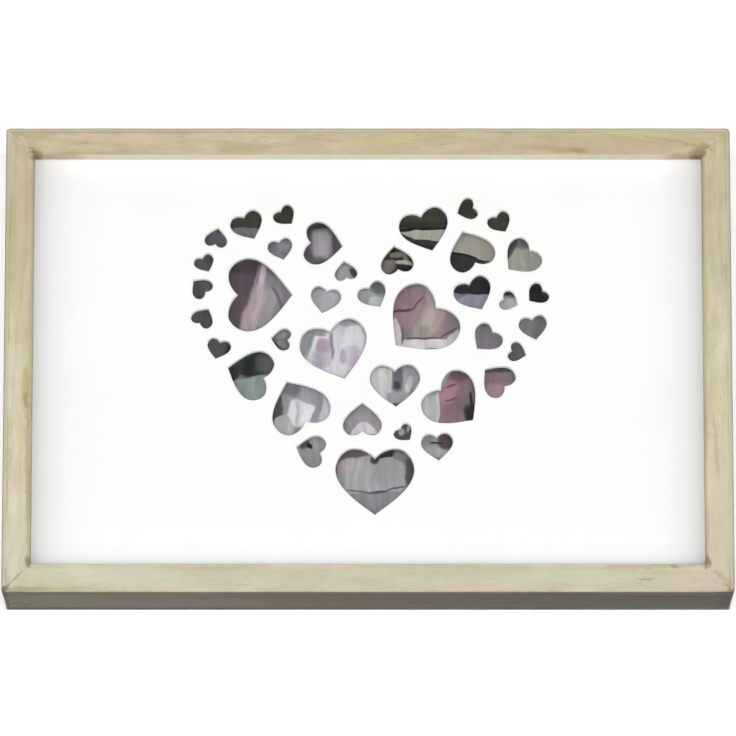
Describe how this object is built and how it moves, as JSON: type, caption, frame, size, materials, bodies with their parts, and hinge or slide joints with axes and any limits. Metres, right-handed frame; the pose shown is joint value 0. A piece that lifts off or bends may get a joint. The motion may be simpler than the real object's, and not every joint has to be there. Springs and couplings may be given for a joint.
{
  "type": "wooden photo box",
  "caption": "Shallow wooden photo box with mitred rails and a white front board whose heart-shaped openings show the picture behind.",
  "frame": {"origin": "centre of the back face, which the box lies on", "axes": "+X to the right across the picture, +Y towards the picture's upper edge, +Z out of the front"},
  "size_m": [0.32, 0.2084, 0.045],
  "materials": {
    "rails": "bare pale wood, sanded",
    "board": "smooth fibreboard, painted matt white",
    "pane": "clear, polished",
    "picture": "semi-gloss print on stiff card",
    "back": "bare pale plywood, sanded"
  },
  "bodies": {
    "root": {"rail_top": "rails", "rail_bottom": "rails", "rail_left": "rails", "rail_right": "rails", "heart_board": "board", "clear_pane": "pane", "picture_card": "picture", "back_board": "back"}
  },
  "joints": []
}
